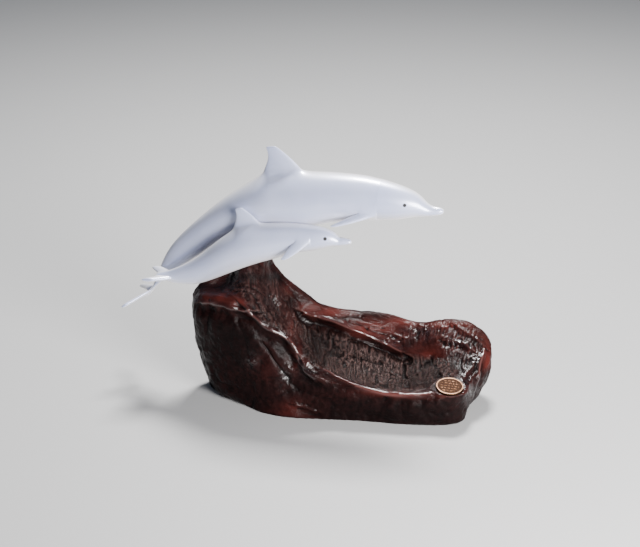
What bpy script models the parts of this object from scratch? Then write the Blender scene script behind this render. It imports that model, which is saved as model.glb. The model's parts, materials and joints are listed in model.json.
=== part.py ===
"""Dolphin and calf figurine: two cast dolphins seated on a lacquered burl, with a medallion let into its rim."""

import math

import bmesh
import bpy
import numpy as np
from mathutils import Matrix, Vector
from mathutils.bvhtree import BVHTree

# Sizes are in metres and angles in degrees. The dolphins head along +X and -Y is the side seen first.
# The origin is the centre of the burl's flat underside.

# Fits between the pieces
TOUCH_GAP = 0.0003
SEAT_BITE = 0.0015
FLANK_BITE = 0.0008

# Burl base
BASE_LENGTH = 0.208
BASE_DEPTH = 0.080
BOSS_HEIGHT = 0.085
DISH_FLOOR_HEIGHT = 0.014
BELLY_HEIGHT = 0.1213
CREST_ROUNDING = 0.07
SEAT_ALONG = -0.318
SEAT_ACROSS = 0.108

# Dolphins: lengths run from the beak tip to the notch between the flukes
ADULT_LENGTH = 0.232
CALF_LENGTH = 0.140
FIGURE_YAW = -3.0
ADULT_SEAT_SHARE = 0.578
ADULT_TOUCH_SHARE = 0.539
CALF_TOUCH_SHARE = 0.461
CALF_TOUCH_ANGLE = 52.0

# Medallion
MEDAL_DIAMETER = 0.019
MEDAL_THICKNESS = 0.0016
MEDAL_RIM_WIDTH = 0.0013
MEDAL_RELIEF = 0.0003
MEDAL_SEAT_DEPTH = 0.0008
MEDAL_SEAT_CLEARANCE = 0.0004
MEDAL_ALONG = 0.76
MEDAL_ACROSS = -0.61
MEDAL_TILT_FRONT = 8.0
MEDAL_TILT_RIGHT = 3.0
STROKE_ROWS = 4
STROKES_PER_ROW = 3
STROKE_HEIGHT = 0.0010
STROKE_GAP = 0.0009

# A smooth curve through cage points takes these shares of a point and of each neighbour
POINT_SHARE = 4 / 6
NEIGHBOUR_SHARE = 1 / 6
# Reach before and behind a ring that gives its heading, as a share of the way from beak to notch
HEADING_REACH = 0.01
ROUND_STEPS = 28
NEAR_ZERO = 0.000001

# Cage of a dolphin: sides of a ring, the rings of the head as shares of the way from beak to notch, and how many
# rings lie across each fin's root and along the bare stretches between
RING_SIDES = 12
HEAD_RINGS = (0.0, 0.018, 0.040, 0.062, 0.088, 0.130, 0.175)
FLIPPER_STEPS = 2
CHEST_STEPS = 2
DORSAL_STEPS = 3
TAIL_STEPS = 5
FLUKE_STEPS = 2
TOP_SIDE_INDEX = 11
LEFT_SIDE_INDEX = 2
RIGHT_SIDE_INDEX = 8

# Fin outlines: share of the span, then leading and trailing edge as shares of the root chord, half thickness
DORSAL_OUTLINE = (
    (0.16, 0.05, 0.97, 0.080),
    (0.50, 0.22, 0.82, 0.052),
    (0.80, 0.42, 0.79, 0.040),
    (1.03, 0.58, 0.84, 0.030),
)
FLIPPER_OUTLINE = (
    (0.14, 0.12, 1.00, 0.14),
    (0.40, 0.14, 1.00, 0.12),
    (0.75, 0.29, 0.89, 0.09),
    (1.05, 0.53, 0.83, 0.06),
)
LONG_FLUKE_OUTLINE = (
    (0.14, 0.05, 1.10, 0.17),
    (0.38, 0.55, 1.50, 0.19),
    (0.64, 1.12, 1.95, 0.20),
    (0.87, 1.68, 2.34, 0.20),
    (1.04, 2.08, 2.62, 0.17),
)
BROAD_FLUKE_OUTLINE = (
    (0.14, 0.05, 1.02, 0.17),
    (0.38, 0.24, 1.18, 0.16),
    (0.64, 0.50, 1.36, 0.15),
    (0.87, 0.76, 1.50, 0.14),
    (1.04, 0.92, 1.54, 0.12),
)
# How the thickness goes from the front of a fin to its back, as shares of the half thickness
FOIL_THREE = (0.45, 1.0, 0.85, 0.35)
FOIL_TWO = (0.5, 1.0, 0.4)

# Each figure's form: back from the beak, rise, half height and half width, as shares of its length
ADULT_FORM = (
    (-0.002, -0.0010, 0.0075, 0.0080),
    (0.020, -0.0030, 0.0128, 0.0140),
    (0.043, -0.0032, 0.0175, 0.0190),
    (0.069, 0.0035, 0.0288, 0.0290),
    (0.100, 0.0115, 0.0430, 0.0410),
    (0.145, 0.0145, 0.0545, 0.0520),
    (0.222, 0.0182, 0.0660, 0.0620),
    (0.310, 0.0145, 0.0738, 0.0695),
    (0.410, -0.0012, 0.0828, 0.0755),
    (0.539, -0.0230, 0.0770, 0.0700),
    (0.603, -0.0540, 0.0670, 0.0585),
    (0.661, -0.0880, 0.0560, 0.0460),
    (0.721, -0.1300, 0.0465, 0.0350),
    (0.772, -0.1775, 0.0440, 0.0270),
    (0.838, -0.2450, 0.0310, 0.0195),
    (0.873, -0.2840, 0.0180, 0.0160),
    (0.899, -0.3310, 0.0075, 0.0150),
    (0.930, -0.3735, 0.0045, 0.0170),
)
CALF_FORM = (
    (-0.002, -0.0100, 0.0095, 0.0100),
    (0.029, -0.0110, 0.0175, 0.0185),
    (0.066, -0.0130, 0.0235, 0.0250),
    (0.096, -0.0050, 0.0385, 0.0385),
    (0.134, -0.0035, 0.0515, 0.0495),
    (0.204, -0.0095, 0.0645, 0.0605),
    (0.294, -0.0190, 0.0760, 0.0710),
    (0.406, -0.0450, 0.0910, 0.0820),
    (0.514, -0.0770, 0.1000, 0.0840),
    (0.624, -0.1400, 0.0900, 0.0690),
    (0.720, -0.2070, 0.0735, 0.0490),
    (0.811, -0.2590, 0.0615, 0.0350),
    (0.889, -0.2850, 0.0470, 0.0250),
    (0.950, -0.2910, 0.0280, 0.0200),
    (1.015, -0.2890, 0.0110, 0.0240),
)

# Fins of each figure: where the root lies along the body, the sides of the ring that flippers grow from, span as a
# share of the length, sweep as a share of the root chord, then angles in degrees
ADULT_FINS = {
    "flipper": {
        "root": (0.180, 0.236), "sides": (3, 7), "span": 0.060, "sweep": 1.58, "droop": 40.0, "tilt": 7.0,
    },
    "dorsal": {"root": (0.374, 0.500), "span": 0.084, "sweep": 0.0},
    "fluke": {"root": (0.950, 1.0), "span": 0.068, "outline": LONG_FLUKE_OUTLINE, "droop": -12.0, "pitch": 36.0},
}
CALF_FINS = {
    "flipper": {
        "root": (0.184, 0.256), "sides": (2, 8), "span": 0.104, "sweep": 0.95, "droop": 56.0, "tilt": 8.0,
    },
    "dorsal": {"root": (0.402, 0.530), "span": 0.100, "sweep": -0.13},
    "fluke": {"root": (0.905, 1.0), "span": 0.062, "outline": BROAD_FLUKE_OUTLINE, "droop": -8.0, "pitch": 3.0},
}

# Burl outline around the base: angle from +X, reach of the crest, its height, reach of the foot, reach of the lip
# of the dish, share of the way from the dish floor to the crest that the lip has
BURL_AROUND = (
    (0, 0.98, 0.38, 0.85, 0.78, 0.95),
    (28, 1.19, 0.48, 0.98, 0.72, 0.80),
    (48, 1.25, 0.62, 1.06, 0.60, 0.66),
    (62, 1.11, 0.56, 0.98, 0.50, 0.60),
    (76, 1.01, 0.64, 0.89, 0.44, 0.64),
    (92, 0.94, 0.63, 0.84, 0.44, 0.80),
    (108, 0.94, 0.66, 0.83, 0.56, 0.96),
    (118, 0.97, 0.83, 0.86, 0.78, 1.00),
    (135, 1.05, 0.99, 0.92, 0.86, 1.00),
    (160, 1.05, 0.99, 0.91, 0.88, 1.00),
    (185, 1.10, 0.94, 0.95, 0.88, 1.00),
    (205, 1.16, 0.96, 0.92, 0.88, 1.00),
    (231, 1.18, 0.96, 0.97, 0.86, 1.00),
    (243, 1.05, 0.78, 1.06, 0.82, 1.00),
    (253, 0.99, 0.59, 1.06, 0.82, 1.00),
    (263, 0.97, 0.44, 0.98, 0.84, 1.00),
    (280, 0.99, 0.34, 0.91, 0.86, 1.00),
    (300, 1.13, 0.30, 0.99, 0.86, 1.00),
    (318, 1.14, 0.32, 1.06, 0.84, 1.00),
    (340, 0.96, 0.35, 0.92, 0.80, 1.00),
)
# Height of the hollow top along the base: share of the half length, share from the dish floor to the boss
BURL_FLOOR = (
    (-1.00, 0.90), (-0.82, 0.95), (-0.62, 0.97), (-0.46, 0.82), (-0.34, 0.58), (-0.22, 0.36),
    (-0.05, 0.17), (0.15, 0.05), (0.37, 0.00), (0.60, 0.05), (0.78, 0.14), (1.00, 0.20),
)
# Side of the burl from foot to crest: share of the way up the cage, share of the swell, share of the height
BURL_SIDE = (
    (0.00, 0.00, 0.00),
    (0.12, 0.25, 0.05),
    (0.35, 0.58, 0.30),
    (0.60, 0.84, 0.60),
    (0.80, 0.96, 0.84),
    (1.00, 1.00, 1.00),
)
# Lumps and one dent of the top: along and across as shares of the half sizes, rise and radius in metres
BURL_LUMPS = (
    (0.60, 0.72, 0.0035, 0.012),
    (0.82, 0.42, 0.0045, 0.011),
    (0.93, 0.02, 0.0025, 0.010),
    (-0.16, 0.60, 0.0030, 0.014),
    (0.50, 0.98, -0.0055, 0.008),
)
# Folds down the outside: angle at the top, lean and width in degrees, depth in metres
BURL_FOLDS = (
    (20, 6, 8, 0.0020),
    (80, 6, 9, 0.0022),
    (140, 8, 9, 0.0026),
    (196, -6, 9, 0.0022),
    (222, 14, 8, 0.0026),
    (250, 10, 8, 0.0028),
    (291, -8, 9, 0.0022),
)
BURL_CELLS = (31, 16, 8)
BURL_SMOOTHINGS = 2
DISH_WALL = 0.36
HILL_FADE = 0.25
ROUNDING_START = 0.8
FOLD_RUN_IN = 0.25
HILL_SPREAD_ALONG = 0.0084
HILL_SPREAD_ACROSS = 0.0155
PAD_BLEND = 0.007


def clear_scene():
    for item in list(bpy.data.objects):
        bpy.data.objects.remove(item, do_unlink=True)


def new_collection(name):
    made = bpy.data.collections.new(name)
    bpy.context.scene.collection.children.link(made)
    return made


def new_material(name, colour, roughness, metallic=0.0, coat=0.0):
    made = bpy.data.materials.new(name)
    made.use_nodes = True
    shader = made.node_tree.nodes["Principled BSDF"]
    shader.inputs["Base Color"].default_value = (*colour, 1.0)
    shader.inputs["Roughness"].default_value = roughness
    shader.inputs["Metallic"].default_value = metallic
    shader.inputs["Coat Weight"].default_value = coat
    return made


def object_from(mesh, name, collection, material=None):
    data = bpy.data.meshes.new(name)
    mesh.to_mesh(data)
    mesh.free()
    data.shade_smooth()
    made = bpy.data.objects.new(name, data)
    collection.objects.link(made)
    if material is not None:
        data.materials.append(material)
    return made


def smooth_curve(keys, at):
    """Columns of the keys after the first, at the places given, on a smooth curve through the keys."""
    keys = np.array(keys, dtype=float)
    place, value = keys[:, 0], keys[:, 1:]
    slope = np.gradient(value, place, axis=0)
    at = np.clip(at, place[0], place[-1])
    low = np.clip(np.searchsorted(place, at, side="right") - 1, 0, len(place) - 2)
    step = (place[low + 1] - place[low])[..., None]
    t = (at[..., None] - place[low][..., None]) / step
    start = value[low] * (1 + 2 * t) * (1 - t) ** 2 + slope[low] * step * t * (1 - t) ** 2
    end = value[low + 1] * (3 - 2 * t) * t ** 2 - slope[low + 1] * step * (1 - t) * t ** 2
    return start + end


def smooth_step(value):
    value = np.clip(value, 0.0, 1.0)
    return value * value * (3 - 2 * value)


def ring_layout(fins):
    """Ring places as shares of the way from beak to notch, and which rings each fin's root starts and ends on."""
    shares = list(HEAD_RINGS)
    roots = {}
    stretches = (
        ("flipper", 0, FLIPPER_STEPS),
        ("dorsal", CHEST_STEPS, DORSAL_STEPS),
        ("fluke", TAIL_STEPS, FLUKE_STEPS),
    )
    for fin, gap, steps in stretches:
        start, end = fins[fin]["root"]
        shares += list(np.linspace(shares[-1], start, gap + 1)[1:-1])
        roots[fin] = (len(shares), len(shares) + steps)
        shares += list(np.linspace(start, end, steps + 1))
    return np.array(shares), roots


def body_stations(form, length, shares):
    """Centre, half height and half width of each ring, and the way that the body heads there."""
    form = np.array(form) * length
    path = np.concatenate([[0.0], np.cumsum(np.hypot(*np.diff(form[:, :2], axis=0).T))])
    keys = np.column_stack([path / path[-1], form])
    here = smooth_curve(keys, shares)
    ahead = smooth_curve(keys, np.maximum(shares - HEADING_REACH, 0.0))
    behind = smooth_curve(keys, np.minimum(shares + HEADING_REACH, 1.0))
    heading = behind[:, :2] - ahead[:, :2]
    heading /= np.linalg.norm(heading, axis=1)[:, None]
    return here, heading


def through_points(values):
    """Cage values whose subdivision surface passes through the values given."""
    count = len(values)
    weights = np.eye(count)
    for row in range(1, count - 1):
        weights[row, row - 1:row + 2] = (NEIGHBOUR_SHARE, POINT_SHARE, NEIGHBOUR_SHARE)
    return np.linalg.solve(weights, values)


def body_cage(mesh, form, length, shares):
    """Rings of cage vertices along the body, the faces between them and a cap at each end."""
    here, heading = body_stations(form, length, shares)
    cage = through_points(here)
    ring_swell = 1 / (POINT_SHARE + 2 * NEIGHBOUR_SHARE * math.cos(2 * math.pi / RING_SIDES))
    rings = []
    for (back, rise, high, wide), (run, drop) in zip(cage, heading):
        centre = Vector((-back, 0.0, rise))
        upward = Vector((drop, 0.0, run))
        ring = []
        for side in range(RING_SIDES):
            angle = 2 * math.pi * (side + 0.5) / RING_SIDES
            offset = upward * (math.cos(angle) * high) + Vector((0.0, math.sin(angle) * wide, 0.0))
            ring.append(mesh.verts.new(centre + offset * ring_swell))
        rings.append(ring)
    for first, second in zip(rings, rings[1:]):
        for side in range(RING_SIDES):
            after = (side + 1) % RING_SIDES
            mesh.faces.new((first[side], first[after], second[after], second[side]))
    mesh.faces.new(rings[0])
    mesh.faces.new(reversed(rings[-1]))
    return rings


def root_rows(mesh, rings, span, column):
    """Open the cage where a fin starts, and give the two rows of vertices at the sides of the opening."""
    after = (column + 1) % RING_SIDES
    picked = range(span[0], span[1] + 1)
    row_a = [rings[index][column] for index in picked]
    row_b = [rings[index][after] for index in picked]
    inside = set(row_a + row_b)
    opened = [face for face in mesh.faces if set(face.verts) <= inside]
    bmesh.ops.delete(mesh, geom=opened, context="FACES_ONLY")
    return row_a, row_b


def grow_fin(mesh, rows, outline, foil, chord, outward, span, sweep=0.0):
    """Grow a fin out of an opening, one section after the other, and close its tip."""
    row_a, row_b = rows
    front = (row_a[0].co + row_b[0].co) / 2
    rear = (row_a[-1].co + row_b[-1].co) / 2
    width = (rear - front).length
    thick = chord.cross(outward).normalized()
    if (row_a[1].co - row_b[1].co).dot(thick) < 0:
        thick = -thick
    for out, lead, trail, half in outline:
        next_a, next_b = [], []
        for place, part in enumerate(foil):
            along = lead + (trail - lead) * place / (len(foil) - 1) + sweep * out
            middle = front + chord * (along * width) + outward * (out * span)
            offset = thick * (half * part * width)
            next_a.append(mesh.verts.new(middle + offset))
            next_b.append(mesh.verts.new(middle - offset))
        for place in range(len(foil) - 1):
            mesh.faces.new((row_a[place], row_a[place + 1], next_a[place + 1], next_a[place]))
            mesh.faces.new((row_b[place], next_b[place], next_b[place + 1], row_b[place + 1]))
        mesh.faces.new((row_a[0], next_a[0], next_b[0], row_b[0]))
        mesh.faces.new((row_a[-1], row_b[-1], next_b[-1], next_a[-1]))
        row_a, row_b = next_a, next_b
    for place in range(len(foil) - 1):
        mesh.faces.new((row_a[place], row_a[place + 1], row_b[place + 1], row_b[place]))


def root_chord(rows):
    row_a, row_b = rows
    return (row_a[-1].co + row_b[-1].co - row_a[0].co - row_b[0].co).normalized()


def grow_dorsal_fin(mesh, rings, root, length, fin):
    rows = root_rows(mesh, rings, root, TOP_SIDE_INDEX)
    chord = root_chord(rows)
    upward = Vector((chord.z, 0.0, -chord.x))
    grow_fin(mesh, rows, DORSAL_OUTLINE, FOIL_THREE, chord, upward, fin["span"] * length, fin["sweep"])


def grow_flippers(mesh, rings, root, length, fin):
    droop = math.radians(fin["droop"])
    for side, column in zip((1, -1), fin["sides"]):
        rows = root_rows(mesh, rings, root, column)
        chord = root_chord(rows)
        chord = Vector((chord.x, 0.0, chord.z)).normalized()
        chord = Matrix.Rotation(math.radians(fin["tilt"]), 3, "Y") @ chord
        outward = Vector((0.0, side * math.cos(droop), -math.sin(droop)))
        grow_fin(mesh, rows, FLIPPER_OUTLINE, FOIL_TWO, chord, outward, fin["span"] * length, fin["sweep"])


def grow_flukes(mesh, rings, root, length, fin):
    pitch = math.radians(fin["pitch"])
    chord = Vector((-math.cos(pitch), 0.0, -math.sin(pitch)))
    upward = Vector((-math.sin(pitch), 0.0, math.cos(pitch)))
    droop = math.radians(fin["droop"])
    for side, column in ((1, LEFT_SIDE_INDEX), (-1, RIGHT_SIDE_INDEX)):
        rows = root_rows(mesh, rings, root, column)
        outward = Vector((0.0, side * math.cos(droop), 0.0)) - upward * math.sin(droop)
        grow_fin(mesh, rows, fin["outline"], FOIL_TWO, chord, outward, fin["span"] * length)


def make_dolphin(name, form, length, fins, place, collection, material):
    """One dolphin as a cage with a subdivision surface, its beak tip at the object's origin."""
    mesh = bmesh.new()
    shares, roots = ring_layout(fins)
    rings = body_cage(mesh, form, length, shares)
    grow_dorsal_fin(mesh, rings, roots["dorsal"], length, fins["dorsal"])
    grow_flippers(mesh, rings, roots["flipper"], length, fins["flipper"])
    grow_flukes(mesh, rings, roots["fluke"], length, fins["fluke"])
    bmesh.ops.recalc_face_normals(mesh, faces=mesh.faces)
    made = object_from(mesh, name, collection, material)
    made.location = place
    made.rotation_euler = (0.0, 0.0, math.radians(FIGURE_YAW))
    add_subdivision(made)
    return made


def add_subdivision(target):
    modifier = target.modifiers.new("round form", "SUBSURF")
    modifier.levels = 1
    modifier.render_levels = 1


def station_at(form, length, share):
    """Rise, half height and half width of a figure at a distance back from the beak, a share of its length."""
    return smooth_curve(form, np.array([share]))[0] * length


def turned(back, rise):
    """A point of a figure's middle plane, turned by the yaw that both figures share."""
    yaw = math.radians(FIGURE_YAW)
    return Vector((-back * math.cos(yaw), -back * math.sin(yaw), rise))


def adult_place():
    """The adult's belly rests on the top of the hill."""
    rise, high, wide = station_at(ADULT_FORM, ADULT_LENGTH, ADULT_SEAT_SHARE)
    seat = Vector((SEAT_ALONG * BASE_LENGTH, SEAT_ACROSS * BASE_DEPTH, BELLY_HEIGHT + high))
    return seat - turned(ADULT_SEAT_SHARE * ADULT_LENGTH, rise)


def calf_place(adult_at):
    """The calf's flank lies against the adult's lower flank."""
    rise, high, wide = station_at(ADULT_FORM, ADULT_LENGTH, ADULT_TOUCH_SHARE)
    adult_centre = adult_at + turned(ADULT_TOUCH_SHARE * ADULT_LENGTH, rise)
    angle = math.radians(CALF_TOUCH_ANGLE)
    adult_reach = 1 / math.hypot(math.cos(angle) / wide, math.sin(angle) / high)
    rise, high, wide = station_at(CALF_FORM, CALF_LENGTH, CALF_TOUCH_SHARE)
    calf_reach = 1 / math.hypot(math.cos(angle) / wide, math.sin(angle) / high)
    away = Vector((0.0, -math.cos(angle), -math.sin(angle)))
    calf_centre = adult_centre + away * (adult_reach + calf_reach - FLANK_BITE)
    return calf_centre - turned(CALF_TOUCH_SHARE * CALF_LENGTH, rise)


def burl_around(angle):
    """Crest reach and height, foot reach, lip reach and height at each angle, in degrees from +X."""
    table = np.array(BURL_AROUND)
    before, after = table[-2:].copy(), table[:3].copy()
    before[:, 0] -= 360
    after[:, 0] += 360
    return smooth_curve(np.vstack([before, table, after]), np.mod(angle, 360))


def burl_plan(across):
    """Plan of a cube's points rounded to a disc, their share of the way out, and which of them are on top."""
    u, v, w = across.T
    plan = np.column_stack([u * np.sqrt(1 - v ** 2 / 2), v * np.sqrt(1 - u ** 2 / 2)])
    return plan, np.hypot(*plan.T), w > 1 - NEAR_ZERO


def burl_points(across):
    """Points of the burl for the points of a cube: its sides, its hollow top and its flat underside."""
    plan, share, top = burl_plan(across)
    angle = np.degrees(np.arctan2(plan[:, 1], plan[:, 0]))
    crest, high, foot, lip, lip_high = burl_around(angle).T
    high = high * BOSS_HEIGHT
    up = (across[:, 2] + 1) / 2
    swell, climb = smooth_curve(BURL_SIDE, up).T
    rounding = np.clip((up - ROUNDING_START) / (1 - ROUNDING_START), 0, 1) ** 2
    reach = foot + (crest - foot) * swell - CREST_ROUNDING * rounding
    for fold_angle, lean, width, depth in BURL_FOLDS:
        away = np.mod(angle - fold_angle - lean * (1 - up) + 180, 360) - 180
        depth = depth / (BASE_DEPTH / 2) * smooth_step(up / FOLD_RUN_IN)
        reach = reach - depth * np.exp(-(away / width) ** 2)
    half = np.array([BASE_LENGTH / 2, BASE_DEPTH / 2])
    point = plan * reach[:, None] * half
    wall = smooth_step((share - lip + DISH_WALL) / DISH_WALL)
    terrace = smooth_step((share - lip) / (1 - lip))
    climb_in = lip_high * wall + (1 - lip_high) * terrace
    floor = smooth_curve(BURL_FLOOR, point[:, 0] / half[0])[:, 0]
    floor = DISH_FLOOR_HEIGHT + floor * (BOSS_HEIGHT - DISH_FLOOR_HEIGHT)
    height = np.where(top, floor + (high - floor) * climb_in, climb * high)
    height = height + burl_lumps(point) * smooth_step((up - ROUNDING_START) / (1 - ROUNDING_START))
    return np.column_stack([point, height])


def burl_hill(point, across):
    """The hill that carries the adult, as heights added to the top, faded out towards the crest."""
    peak = np.array([SEAT_ALONG * BASE_LENGTH, SEAT_ACROSS * BASE_DEPTH])
    away = (point - peak) / (HILL_SPREAD_ALONG, HILL_SPREAD_ACROSS)
    lift = (BELLY_HEIGHT + SEAT_BITE - BOSS_HEIGHT) * np.exp(-0.5 * (away ** 2).sum(axis=1))
    plan, share, top = burl_plan(across)
    return lift * top * smooth_step((1 - share) / HILL_FADE)


def burl_lumps(point):
    """The smaller lumps and the dent, as heights added to the top and the crest."""
    rise = np.zeros(len(point))
    for along, side, lift, radius in BURL_LUMPS:
        spot = np.array([along * BASE_LENGTH / 2, side * BASE_DEPTH / 2])
        rise = rise + lift * np.exp(-((point - spot) ** 2).sum(axis=1) / radius ** 2)
    return rise


def burl_block():
    """A cube cut into cells along each axis, ready to be shaped."""
    mesh = bmesh.new()
    bmesh.ops.create_cube(mesh, size=2.0)
    for axis, cells in enumerate(BURL_CELLS):
        along = []
        for edge in mesh.edges:
            first, second = edge.verts
            if abs(first.co[axis] - second.co[axis]) > NEAR_ZERO:
                along.append(edge)
        bmesh.ops.subdivide_edges(mesh, edges=along, cuts=cells - 1, use_grid_fill=True)
    return mesh


def medal_frame(mesh):
    """Where the medallion's seat floor lies on the burl, and the way that the medallion faces."""
    tree = BVHTree.FromBMesh(mesh)
    start = Vector((MEDAL_ALONG * BASE_LENGTH / 2, MEDAL_ACROSS * BASE_DEPTH / 2, BASE_LENGTH))
    point = tree.ray_cast(start, Vector((0.0, 0.0, -1.0)))[0]
    turn = Matrix.Rotation(math.radians(MEDAL_TILT_FRONT), 4, "X")
    turn = turn @ Matrix.Rotation(math.radians(MEDAL_TILT_RIGHT), 4, "Y")
    return Matrix.Translation(point) @ turn


def flatten_pad(mesh, frame):
    """Level the wood around the medallion so that its seat is cut into a flat place."""
    normal = frame.to_3x3() @ Vector((0.0, 0.0, 1.0))
    inner = MEDAL_DIAMETER / 2 + MEDAL_SEAT_CLEARANCE
    for vertex in mesh.verts:
        offset = vertex.co - frame.translation
        proud = offset.dot(normal)
        distance = (offset - normal * proud).length
        share = float(smooth_step((inner + PAD_BLEND - distance) / PAD_BLEND))
        if abs(proud) < MEDAL_DIAMETER / 2:
            vertex.co -= normal * (proud * share)


def make_burl(collection, material):
    mesh = burl_block()
    across = np.array([vertex.co[:] for vertex in mesh.verts])
    for vertex, place in zip(mesh.verts, burl_points(across)):
        vertex.co = place
    wall = [vertex for vertex in mesh.verts if vertex.co.z > NEAR_ZERO]
    for smoothing in range(BURL_SMOOTHINGS):
        bmesh.ops.smooth_vert(
            mesh, verts=wall, factor=0.5, use_axis_x=True, use_axis_y=True, use_axis_z=True,
        )
    point = np.array([vertex.co[:2] for vertex in mesh.verts])
    for vertex, lift in zip(mesh.verts, burl_hill(point, across)):
        vertex.co.z += lift
    frame = medal_frame(mesh)
    flatten_pad(mesh, frame)
    underside = [face for face in mesh.faces if all(vertex.co.z < NEAR_ZERO for vertex in face.verts)]
    bmesh.ops.dissolve_faces(mesh, faces=underside, use_verts=True)
    return object_from(mesh, "burl_base", collection, material), frame


def seat_cutter(figure, collection):
    """The figure swollen by the touch gap, to cut its seat."""
    made = figure.copy()
    made.name = figure.name + "_seat"
    collection.objects.link(made)
    hide_cutter(made)
    swell = made.modifiers.new("touch gap", "DISPLACE")
    swell.strength = TOUCH_GAP
    swell.mid_level = 0.0
    return made


def hide_cutter(cutter):
    cutter.hide_render = True
    cutter.display_type = "WIRE"


def combine(target, other, operation):
    modifier = target.modifiers.new(other.name, "BOOLEAN")
    modifier.operation = operation
    modifier.solver = "EXACT"
    modifier.object = other


def medal_seat_cutter(frame, collection):
    mesh = bmesh.new()
    radius = MEDAL_DIAMETER / 2 + MEDAL_SEAT_CLEARANCE
    depth = MEDAL_DIAMETER / 2
    place = frame @ Matrix.Translation((0.0, 0.0, depth / 2 - MEDAL_SEAT_DEPTH))
    bmesh.ops.create_cone(
        mesh, cap_ends=True, segments=ROUND_STEPS, radius1=radius, radius2=radius, depth=depth, matrix=place,
    )
    made = object_from(mesh, "medallion_seat", collection)
    hide_cutter(made)
    return made


def medal_strokes(place, collection):
    """Rows of short bars that stand on the medallion's face."""
    mesh = bmesh.new()
    reach = MEDAL_DIAMETER / 2 - MEDAL_RIM_WIDTH - 2 * MEDAL_RELIEF
    pitch = 2 * reach / STROKE_ROWS
    middle = MEDAL_THICKNESS - MEDAL_RELIEF
    for row in range(STROKE_ROWS):
        across = (row - (STROKE_ROWS - 1) / 2) * pitch
        half_row = math.sqrt(reach ** 2 - (abs(across) + STROKE_HEIGHT / 2) ** 2)
        length = (2 * half_row - STROKE_GAP * (STROKES_PER_ROW - 1)) / STROKES_PER_ROW
        for stroke in range(STROKES_PER_ROW):
            along = -half_row + length / 2 + stroke * (length + STROKE_GAP)
            matrix = Matrix.Translation((along, across, middle))
            matrix = matrix @ Matrix.Diagonal((length, STROKE_HEIGHT, 2 * MEDAL_RELIEF, 1.0))
            bmesh.ops.create_cube(mesh, size=1.0, matrix=matrix)
    made = object_from(mesh, "medallion_strokes", collection)
    made.matrix_world = place
    hide_cutter(made)
    return made


def make_medallion(place, collection, material):
    """A disc with a raised rim."""
    radius = MEDAL_DIAMETER / 2
    face = radius - MEDAL_RIM_WIDTH
    low = MEDAL_THICKNESS - MEDAL_RELIEF
    chamfer = MEDAL_RELIEF
    profile = (
        (radius - chamfer, MEDAL_THICKNESS), (radius, MEDAL_THICKNESS - chamfer), (radius, 0.0), (0.0, 0.0),
    )
    mesh = bmesh.new()
    inner = ((0.0, low), (face, low), (face + chamfer, MEDAL_THICKNESS))
    points = [mesh.verts.new((along, 0.0, height)) for along, height in inner + profile]
    for first, second in zip(points, points[1:]):
        mesh.edges.new((first, second))
    made = object_from(mesh, "medallion", collection, material)
    turn = made.modifiers.new("turned profile", "SCREW")
    turn.axis = "Z"
    turn.steps = ROUND_STEPS
    turn.render_steps = ROUND_STEPS
    turn.use_merge_vertices = True
    turn.merge_threshold = 0.00001
    made.matrix_world = place
    return made


def main():
    clear_scene()
    parts = new_collection("dolphin and calf figurine")
    cutters = new_collection("cutters")
    pearl = new_material("pearl white casting", (0.80, 0.80, 0.86), 0.28, coat=0.4)
    lacquer = new_material("oxblood lacquered burl", (0.16, 0.02, 0.015), 0.22, coat=0.8)
    copper = new_material("aged copper", (0.55, 0.30, 0.18), 0.38, metallic=1.0)
    adult_at = adult_place()
    adult = make_dolphin("adult_dolphin", ADULT_FORM, ADULT_LENGTH, ADULT_FINS, adult_at, parts, pearl)
    calf_at = calf_place(adult_at)
    calf = make_dolphin("calf_dolphin", CALF_FORM, CALF_LENGTH, CALF_FINS, calf_at, parts, pearl)
    burl, seat_at = make_burl(parts, lacquer)
    medal_at = seat_at @ Matrix.Translation((0.0, 0.0, TOUCH_GAP - MEDAL_SEAT_DEPTH))
    medallion = make_medallion(medal_at, parts, copper)
    combine(medallion, medal_strokes(medal_at, cutters), "UNION")
    adult_seat = seat_cutter(adult, cutters)
    combine(calf, adult_seat, "DIFFERENCE")
    combine(burl, adult_seat, "DIFFERENCE")
    combine(burl, seat_cutter(calf, cutters), "DIFFERENCE")
    combine(burl, medal_seat_cutter(seat_at, cutters), "DIFFERENCE")


main()
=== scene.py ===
"""Looks of the dolphin and calf figurine: pearl castings, lacquered burl, copper medallion and studio."""

import itertools
import json
import math

import bmesh
import bpy
import numpy as np
from mathutils import Matrix, Vector
from mathutils.bvhtree import BVHTree

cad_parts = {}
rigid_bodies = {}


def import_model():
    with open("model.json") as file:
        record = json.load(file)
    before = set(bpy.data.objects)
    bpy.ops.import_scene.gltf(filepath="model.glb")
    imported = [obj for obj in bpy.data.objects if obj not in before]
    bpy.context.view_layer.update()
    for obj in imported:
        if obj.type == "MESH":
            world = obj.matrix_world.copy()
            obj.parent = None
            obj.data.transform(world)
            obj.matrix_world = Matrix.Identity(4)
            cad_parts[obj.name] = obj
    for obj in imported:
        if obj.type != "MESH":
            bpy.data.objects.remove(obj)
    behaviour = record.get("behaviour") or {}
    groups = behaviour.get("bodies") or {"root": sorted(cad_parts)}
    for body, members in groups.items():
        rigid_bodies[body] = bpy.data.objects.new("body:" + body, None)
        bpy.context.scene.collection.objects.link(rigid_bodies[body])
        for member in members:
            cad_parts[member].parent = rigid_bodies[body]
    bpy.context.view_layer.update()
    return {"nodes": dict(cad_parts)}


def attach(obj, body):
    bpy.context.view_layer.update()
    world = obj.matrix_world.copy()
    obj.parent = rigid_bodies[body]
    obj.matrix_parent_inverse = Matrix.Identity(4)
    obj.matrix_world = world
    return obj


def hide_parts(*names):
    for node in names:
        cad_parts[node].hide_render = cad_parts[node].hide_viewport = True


# Sizes are in metres, angles in degrees, in the row frame: +X is where the dolphins head, -Y the side seen.

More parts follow.
